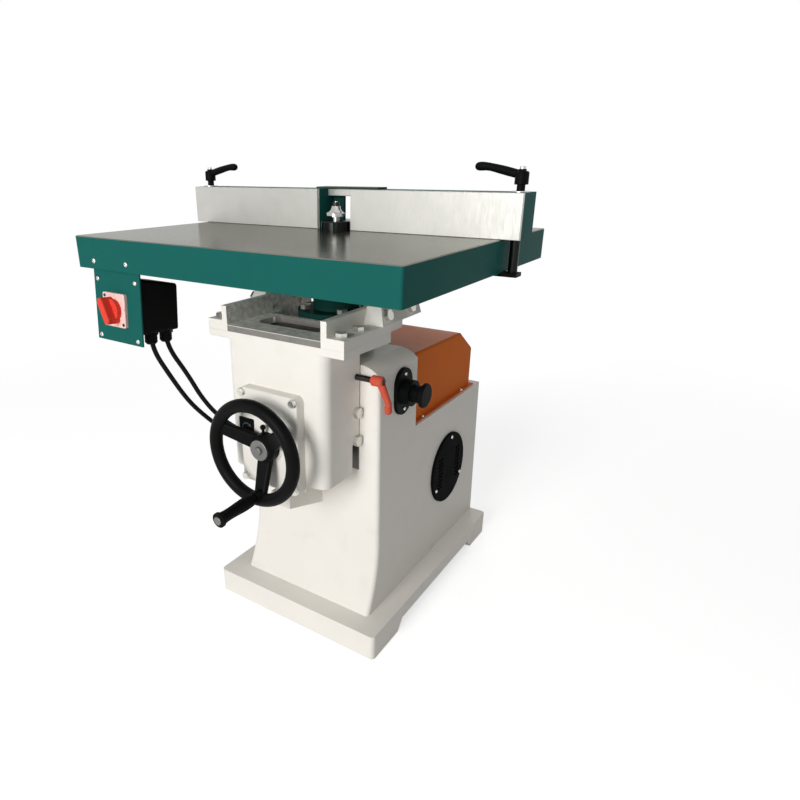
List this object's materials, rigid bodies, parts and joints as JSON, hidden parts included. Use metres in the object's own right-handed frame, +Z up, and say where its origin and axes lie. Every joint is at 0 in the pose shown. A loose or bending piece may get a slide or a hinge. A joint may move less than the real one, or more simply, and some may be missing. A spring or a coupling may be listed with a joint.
{
  "type": "spindle moulder",
  "caption": "Floor-standing spindle moulder with a rise-and-fall table on a dovetail knee, a split sliding fence, belt-driven vertical spindle and handwheel lift.",
  "frame": {"origin": "middle of the overall footprint, on the floor", "axes": "+Z up, -Y towards the operator and the handwheel, +X to the operator's right along the fence"},
  "size_m": [0.762, 0.824, 0.9744],
  "materials": {
    "cream_paint": "satin",
    "teal_paint": "satin",
    "orange_paint": "satin",
    "table_iron": "painted sides, ground top",
    "bare_iron": "machined",
    "black_iron": "painted black",
    "steel": "turned",
    "zinc_bolts": "bright",
    "bronze": "turned",
    "aluminium": "milled",
    "black_plastic": "matte",
    "red_plastic": "gloss",
    "orange_plastic": "matte",
    "pale_plastic": "matte",
    "belt_rubber": "matte",
    "cable_rubber": "matte",
    "motor_paint": "satin"
  },
  "bodies": {
    "base": {"base_casting": "cream_paint", "lift_screw": "steel", "spindle_housing": "teal_paint", "spindle_bearings": "steel", "base_bolts": "zinc_bolts", "motor_plate": "bare_iron", "motor": "motor_paint", "belt_cover": "orange_paint", "drive_belt": "belt_rubber", "vent_cover": "black_plastic", "lock_flange": "black_plastic", "column_glands": "black_plastic"},
    "knee": {"knee_casting": "cream_paint", "knee_gib": "cream_paint", "gib_screws": "zinc_bolts", "bearing_plate": "cream_paint", "plate_bolts": "zinc_bolts", "nut_bush": "bronze", "saddle_casting": "cream_paint", "saddle_bolts": "zinc_bolts", "bracket_left": "cream_paint", "bracket_right": "cream_paint", "bracket_bolts": "zinc_bolts", "table_casting": "table_iron", "switch_panel": "teal_paint", "switch_box": "black_plastic", "switch_plate": "pale_plastic", "switch_glands": "black_plastic", "cable_front": "cable_rubber", "cable_rear": "cable_rubber"},
    "lift_nut": {"lift_nut": "bronze", "nut_gear": "steel"},
    "wheel": {"handwheel": "black_iron", "wheel_shaft": "steel", "shaft_gear": "steel", "wheel_cap": "steel", "grip_stud": "steel"},
    "grip": {"handle_grip": "black_plastic"},
    "spindle": {"spindle_shaft": "steel", "spindle_pulley": "bare_iron", "collet_nut": "steel", "router_bit": "steel", "bit_bearing": "steel"},
    "rotor": {"motor_shaft": "steel", "motor_pulley": "bare_iron"},
    "lock": {"lock_knob": "black_plastic"},
    "knee_clamp": {"knee_lever": "orange_plastic", "knee_lever_stud": "steel"},
    "fence": {"fence_left": "teal_paint", "fence_right": "teal_paint", "fence_plate_left": "aluminium", "fence_plate_right": "aluminium", "fence_bridge": "aluminium", "chip_guard": "teal_paint", "clamp_claws": "black_iron"},
    "clamp_left": {"clamp_lever_left": "black_plastic", "clamp_rod_left": "steel"},
    "clamp_right": {"clamp_lever_right": "black_plastic", "clamp_rod_right": "steel"},
    "switch": {"switch_knob": "red_plastic"}
  },
  "joints": [
    {"name": "knee_lift", "type": "slide", "parent": "base", "child": "knee", "axis": [0, 0, 1], "range_m": [-0.04, 0.04], "deforming": ["cable_front", "cable_rear"]},
    {"name": "wheel_turn", "type": "hinge", "parent": "knee", "child": "wheel", "pos_m": [0.009, -0.265, 0.465], "axis": [0, 1, 0], "range_deg": [-2879, 2879]},
    {"name": "nut_turn", "type": "hinge", "parent": "knee", "child": "lift_nut", "pos_m": [0.009, -0.171, 0.43], "axis": [0, 0, 1], "range_deg": [-2880, 2880]},
    {"name": "grip_spin", "type": "hinge", "parent": "wheel", "child": "grip", "pos_m": [0.01948, -0.36, 0.37964], "axis": [0, 1, 0], "continuous": true},
    {"name": "spindle_turn", "type": "hinge", "parent": "base", "child": "spindle", "pos_m": [0.009, -0.016, 0.7], "axis": [0, 0, 1], "continuous": true},
    {"name": "motor_turn", "type": "hinge", "parent": "base", "child": "rotor", "pos_m": [0.009, 0.231, 0.45], "axis": [0, 0, 1], "continuous": true},
    {"name": "lock_push", "type": "slide", "parent": "base", "child": "lock", "axis": [-1, 0, 0], "range_m": [0, 0.012], "stiffness_N_per_m": 600, "springref_m": -0.01},
    {"name": "fence_slide", "type": "slide", "parent": "knee", "child": "fence", "axis": [0, 1, 0], "range_m": [-0.01, 0.11]},
    {"name": "clamp_left_turn", "type": "hinge", "parent": "fence", "child": "clamp_left", "pos_m": [-0.364, 0.018, 0.94], "axis": [0, 0, 1], "range_deg": [-60, 120]},
    {"name": "clamp_right_turn", "type": "hinge", "parent": "fence", "child": "clamp_right", "pos_m": [0.364, 0.018, 0.94], "axis": [0, 0, 1], "range_deg": [-60, 120]},
    {"name": "knee_clamp_turn", "type": "hinge", "parent": "knee", "child": "knee_clamp", "pos_m": [0.17, -0.123, 0.592], "axis": [1, 0, 0], "range_deg": [-75, 12]},
    {"name": "switch_turn", "type": "hinge", "parent": "knee", "child": "switch", "pos_m": [-0.2575, -0.35923, 0.71923], "axis": [0, -0.9969, 0.0785], "range_deg": [-90, 0]}
  ],
  "couplings": [
    {"joint": "knee_lift", "follows": "wheel_turn", "m_per_rad": 0.00079577},
    {"joint": "nut_turn", "follows": "wheel_turn", "ratio": -1},
    {"joint": "motor_turn", "follows": "spindle_turn", "ratio": 0.69231}
  ]
}
